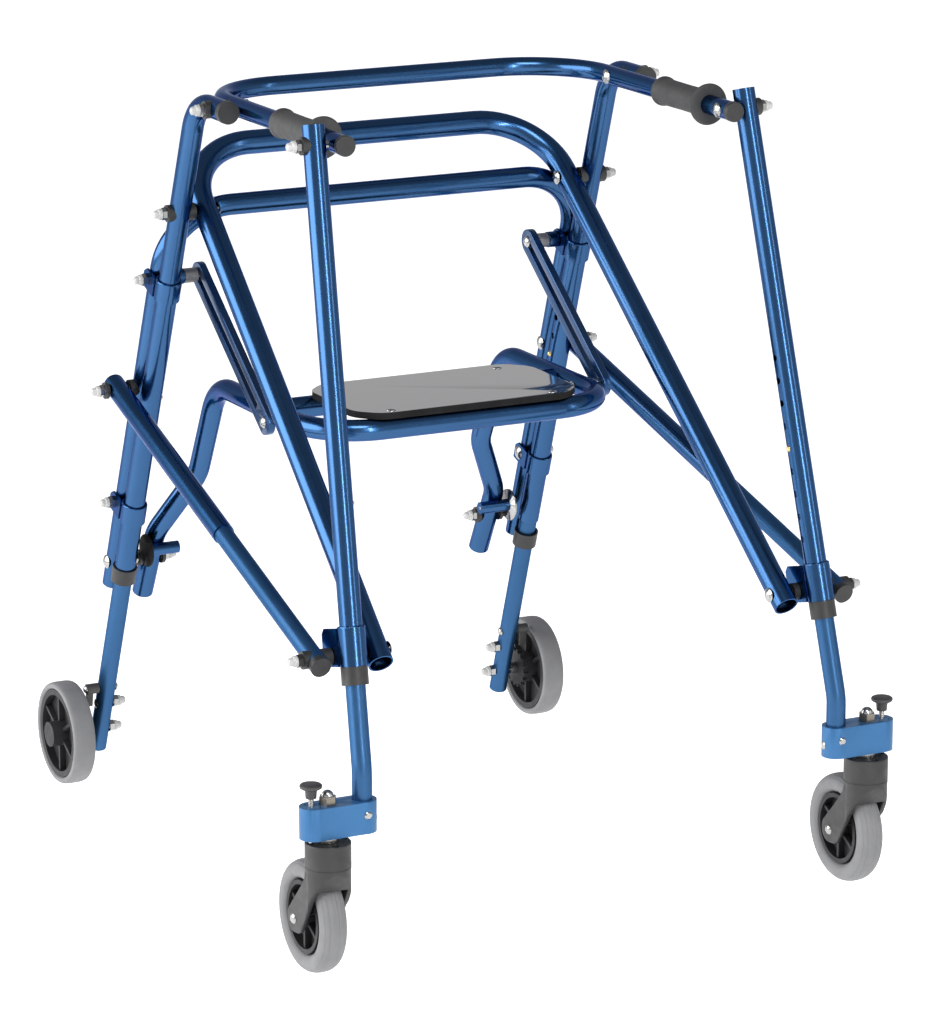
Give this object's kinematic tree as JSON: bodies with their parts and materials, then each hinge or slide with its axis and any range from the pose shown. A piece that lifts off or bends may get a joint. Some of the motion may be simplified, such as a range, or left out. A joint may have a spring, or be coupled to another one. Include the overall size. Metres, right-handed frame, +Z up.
{
  "type": "posterior walker",
  "caption": "Folding tubular walker that trails behind its user, with a flip-up seat, telescoping legs, locking swivel casters and ratchet rear wheels.",
  "frame": {"origin": "on the floor, midway between the two sides and between the front and rear ends", "axes": "+X to one side across the walker, -Y to the open front, +Z up"},
  "size_m": [0.746, 0.882, 0.9143],
  "materials": {
    "frame_blue": "glossy metallic blue",
    "lower_blue": "glossy metallic blue",
    "block_blue": "satin blue",
    "link_blue": "glossy dark blue",
    "zinc": "bright zinc",
    "trim_black": "matte black",
    "grip_grey": "matte dark grey",
    "tyre_grey": "light grey",
    "hub_black": "matte black",
    "fork_black": "satin black",
    "lock_black": "matte black",
    "seat_black": "gloss black",
    "brass": "satin"
  },
  "bodies": {
    "rear_frame": {"rear_leg_left": "frame_blue", "rear_leg_right": "frame_blue", "rear_u_tube": "frame_blue", "frame_bolts": "zinc", "frame_plastics": "trim_black"},
    "handlebar": {"handlebar_tube": "frame_blue", "hand_grips": "grip_grey", "handlebar_caps": "trim_black", "handlebar_bolts": "zinc"},
    "inclined_frame": {"inclined_tube": "frame_blue", "lower_pivot_bolts": "zinc"},
    "seat": {"seat_frame": "frame_blue", "seat_plate": "seat_black", "seat_hardware": "zinc"},
    "front_leg_left": {"front_leg_left": "frame_blue", "front_leg_trim_left": "trim_black", "front_leg_pivot_left": "zinc"},
    "front_lower_left": {"front_lower_leg_left": "lower_blue", "caster_block_left": "block_blue", "caster_stem_left": "zinc"},
    "caster_left": {"caster_fork_left": "fork_black", "caster_axle_left": "zinc"},
    "front_wheel_left": {"front_tyre_left": "tyre_grey", "front_hub_left": "hub_black"},
    "swivel_lock_left": {"swivel_lock_left": "lock_black"},
    "rear_lower_left": {"rear_lower_leg_left": "lower_blue", "rear_axle_left": "zinc"},
    "rear_wheel_left": {"rear_tyre_left": "tyre_grey", "rear_hub_left": "hub_black"},
    "pawl_left": {"ratchet_pawl_left": "lock_black"},
    "brace_outer_left": {"brace_outer_left": "frame_blue"},
    "brace_inner_left": {"brace_inner_left": "lower_blue", "brace_end_left": "trim_black"},
    "drop_link_left": {"drop_link_left": "link_blue"},
    "front_button_left": {"front_button_left": "brass"},
    "rear_button_left": {"rear_button_left": "brass"},
    "brace_button_left": {"brace_button_left": "brass"},
    "front_leg_right": {"front_leg_right": "frame_blue", "front_leg_trim_right": "trim_black", "front_leg_pivot_right": "zinc"},
    "front_lower_right": {"front_lower_leg_right": "lower_blue", "caster_block_right": "block_blue", "caster_stem_right": "zinc"},
    "caster_right": {"caster_fork_right": "fork_black", "caster_axle_right": "zinc"},
    "front_wheel_right": {"front_tyre_right": "tyre_grey", "front_hub_right": "hub_black"},
    "swivel_lock_right": {"swivel_lock_right": "lock_black"},
    "rear_lower_right": {"rear_lower_leg_right": "lower_blue", "rear_axle_right": "zinc"},
    "rear_wheel_right": {"rear_tyre_right": "tyre_grey", "rear_hub_right": "hub_black"},
    "pawl_right": {"ratchet_pawl_right": "lock_black"},
    "brace_outer_right": {"brace_outer_right": "frame_blue"},
    "brace_inner_right": {"brace_inner_right": "lower_blue", "brace_end_right": "trim_black"},
    "drop_link_right": {"drop_link_right": "link_blue"},
    "front_button_right": {"front_button_right": "brass"},
    "rear_button_right": {"rear_button_right": "brass"},
    "brace_button_right": {"brace_button_right": "brass"}
  },
  "joints": [
    {"name": "frame_fold", "type": "hinge", "parent": "rear_frame", "child": "inclined_frame", "pos_m": [0, 0.1255, 0.753], "axis": [1, 0, 0], "range_deg": [0, 62]},
    {"name": "handlebar_fold", "type": "hinge", "parent": "rear_frame", "child": "handlebar", "pos_m": [0, 0.01753, 0.89], "axis": [1, 0, 0], "range_deg": [0, 87.97]},
    {"name": "seat_flip", "type": "hinge", "parent": "rear_frame", "child": "seat", "pos_m": [0, 0.3224, 0.29], "axis": [-1, 0, 0], "range_deg": [0, 29]},
    {"name": "front_leg_fold_left", "type": "hinge", "parent": "inclined_frame", "child": "front_leg_left", "pos_m": [-0.255, -0.36049, 0.35], "axis": [1, 0, 0], "range_deg": [-23.74, 0]},
    {"name": "brace_fold_left", "type": "hinge", "parent": "rear_frame", "child": "brace_outer_left", "pos_m": [-0.305, 0.23688, 0.524], "axis": [0.9998, 0.0149, -0.0107], "range_deg": [0, 76.67]},
    {"name": "brace_slide_left", "type": "slide", "parent": "brace_outer_left", "child": "brace_inner_left", "axis": [-0.0381, -0.9594, -0.2795], "range_m": [-0.2333, 0]},
    {"name": "front_height_left", "type": "slide", "parent": "front_leg_left", "child": "front_lower_left", "axis": [-0.0437, -0.2531, -0.9665], "range_m": [-0.052, 0.052]},
    {"name": "rear_height_left", "type": "slide", "parent": "rear_frame", "child": "rear_lower_left", "axis": [-0.0125, 0.3432, -0.9392], "range_m": [-0.052, 0.052]},
    {"name": "caster_swivel_left", "type": "hinge", "parent": "front_lower_left", "child": "caster_left", "pos_m": [-0.3403, -0.4155, 0.0635], "axis": [0, 0, 1], "continuous": true},
    {"name": "front_wheel_spin_left", "type": "hinge", "parent": "caster_left", "child": "front_wheel_left", "pos_m": [-0.3403, -0.375, 0.0635], "axis": [1, 0, 0], "continuous": true},
    {"name": "swivel_lock_left", "type": "slide", "parent": "front_lower_left", "child": "swivel_lock_left", "axis": [0, 0, 1], "range_m": [-0.008, 0]},
    {"name": "rear_wheel_spin_left", "type": "hinge", "parent": "rear_lower_left", "child": "rear_wheel_left", "pos_m": [-0.324, 0.3775, 0.0635], "axis": [1, 0, 0], "continuous": true},
    {"name": "pawl_left", "type": "hinge", "parent": "rear_lower_left", "child": "pawl_left", "pos_m": [-0.27827, 0.35648, 0.121], "axis": [1, 0, 0], "range_deg": [0, 10]},
    {"name": "drop_link_left", "type": "hinge", "parent": "seat", "child": "drop_link_left", "pos_m": [-0.2235, 0.00028, 0.525], "axis": [-1, 0, 0], "range_deg": [-15, 0.2]},
    {"name": "front_button_left", "type": "slide", "parent": "front_leg_left", "child": "front_button_left", "axis": [-1, 0, 0], "range_m": [0, 0.003], "stiffness_N_per_m": 400},
    {"name": "rear_button_left", "type": "slide", "parent": "rear_frame", "child": "rear_button_left", "axis": [-1, 0, 0], "range_m": [0, 0.003], "stiffness_N_per_m": 400},
    {"name": "brace_button_left", "type": "slide", "parent": "brace_outer_left", "child": "brace_button_left", "axis": [0, -0.2797, 0.9601], "range_m": [0, 0.003], "stiffness_N_per_m": 400},
    {"name": "front_leg_fold_right", "type": "hinge", "parent": "inclined_frame", "child": "front_leg_right", "pos_m": [0.255, -0.36049, 0.35], "axis": [1, 0, 0], "range_deg": [-23.74, 0]},
    {"name": "brace_fold_right", "type": "hinge", "parent": "rear_frame", "child": "brace_outer_right", "pos_m": [0.305, 0.23688, 0.524], "axis": [0.9998, -0.0149, 0.0107], "range_deg": [0, 76.67]},
    {"name": "brace_slide_right", "type": "slide", "parent": "brace_outer_right", "child": "brace_inner_right", "axis": [0.0381, -0.9594, -0.2795], "range_m": [-0.2333, 0]},
    {"name": "front_height_right", "type": "slide", "parent": "front_leg_right", "child": "front_lower_right", "axis": [0.0437, -0.2531, -0.9665], "range_m": [-0.052, 0.052]},
    {"name": "rear_height_right", "type": "slide", "parent": "rear_frame", "child": "rear_lower_right", "axis": [0.0125, 0.3432, -0.9392], "range_m": [-0.052, 0.052]},
    {"name": "caster_swivel_right", "type": "hinge", "parent": "front_lower_right", "child": "caster_right", "pos_m": [0.3403, -0.4155, 0.0635], "axis": [0, 0, 1], "continuous": true},
    {"name": "front_wheel_spin_right", "type": "hinge", "parent": "caster_right", "child": "front_wheel_right", "pos_m": [0.3403, -0.375, 0.0635], "axis": [1, 0, 0], "continuous": true},
    {"name": "swivel_lock_right", "type": "slide", "parent": "front_lower_right", "child": "swivel_lock_right", "axis": [0, 0, 1], "range_m": [-0.008, 0]},
    {"name": "rear_wheel_spin_right", "type": "hinge", "parent": "rear_lower_right", "child": "rear_wheel_right", "pos_m": [0.324, 0.3775, 0.0635], "axis": [1, 0, 0], "continuous": true},
    {"name": "pawl_right", "type": "hinge", "parent": "rear_lower_right", "child": "pawl_right", "pos_m": [0.27827, 0.35648, 0.121], "axis": [1, 0, 0], "range_deg": [0, 10]},
    {"name": "drop_link_right", "type": "hinge", "parent": "seat", "child": "drop_link_right", "pos_m": [0.2235, 0.00028, 0.525], "axis": [-1, 0, 0], "range_deg": [-15, 0.2]},
    {"name": "front_button_right", "type": "slide", "parent": "front_leg_right", "child": "front_button_right", "axis": [1, 0, 0], "range_m": [0, 0.003], "stiffness_N_per_m": 400},
    {"name": "rear_button_right", "type": "slide", "parent": "rear_frame", "child": "rear_button_right", "axis": [1, 0, 0], "range_m": [0, 0.003], "stiffness_N_per_m": 400},
    {"name": "brace_button_right", "type": "slide", "parent": "brace_outer_right", "child": "brace_button_right", "axis": [0, -0.2797, 0.9601], "range_m": [0, 0.003], "stiffness_N_per_m": 400}
  ],
  "couplings": [
    {"joint": "handlebar_fold", "follows": "frame_fold", "ratio": 1.4108},
    {"joint": "front_leg_fold_left", "follows": "frame_fold", "ratio": -0.37491},
    {"joint": "brace_fold_left", "follows": "frame_fold", "ratio": 1.2285},
    {"joint": "brace_slide_left", "follows": "frame_fold", "m_per_rad": -0.21466},
    {"joint": "drop_link_left", "follows": "seat_flip", "ratio": -0.5},
    {"joint": "front_leg_fold_right", "follows": "frame_fold", "ratio": -0.37491},
    {"joint": "brace_fold_right", "follows": "frame_fold", "ratio": 1.2285},
    {"joint": "brace_slide_right", "follows": "frame_fold", "m_per_rad": -0.21466},
    {"joint": "drop_link_right", "follows": "seat_flip", "ratio": -0.5}
  ]
}
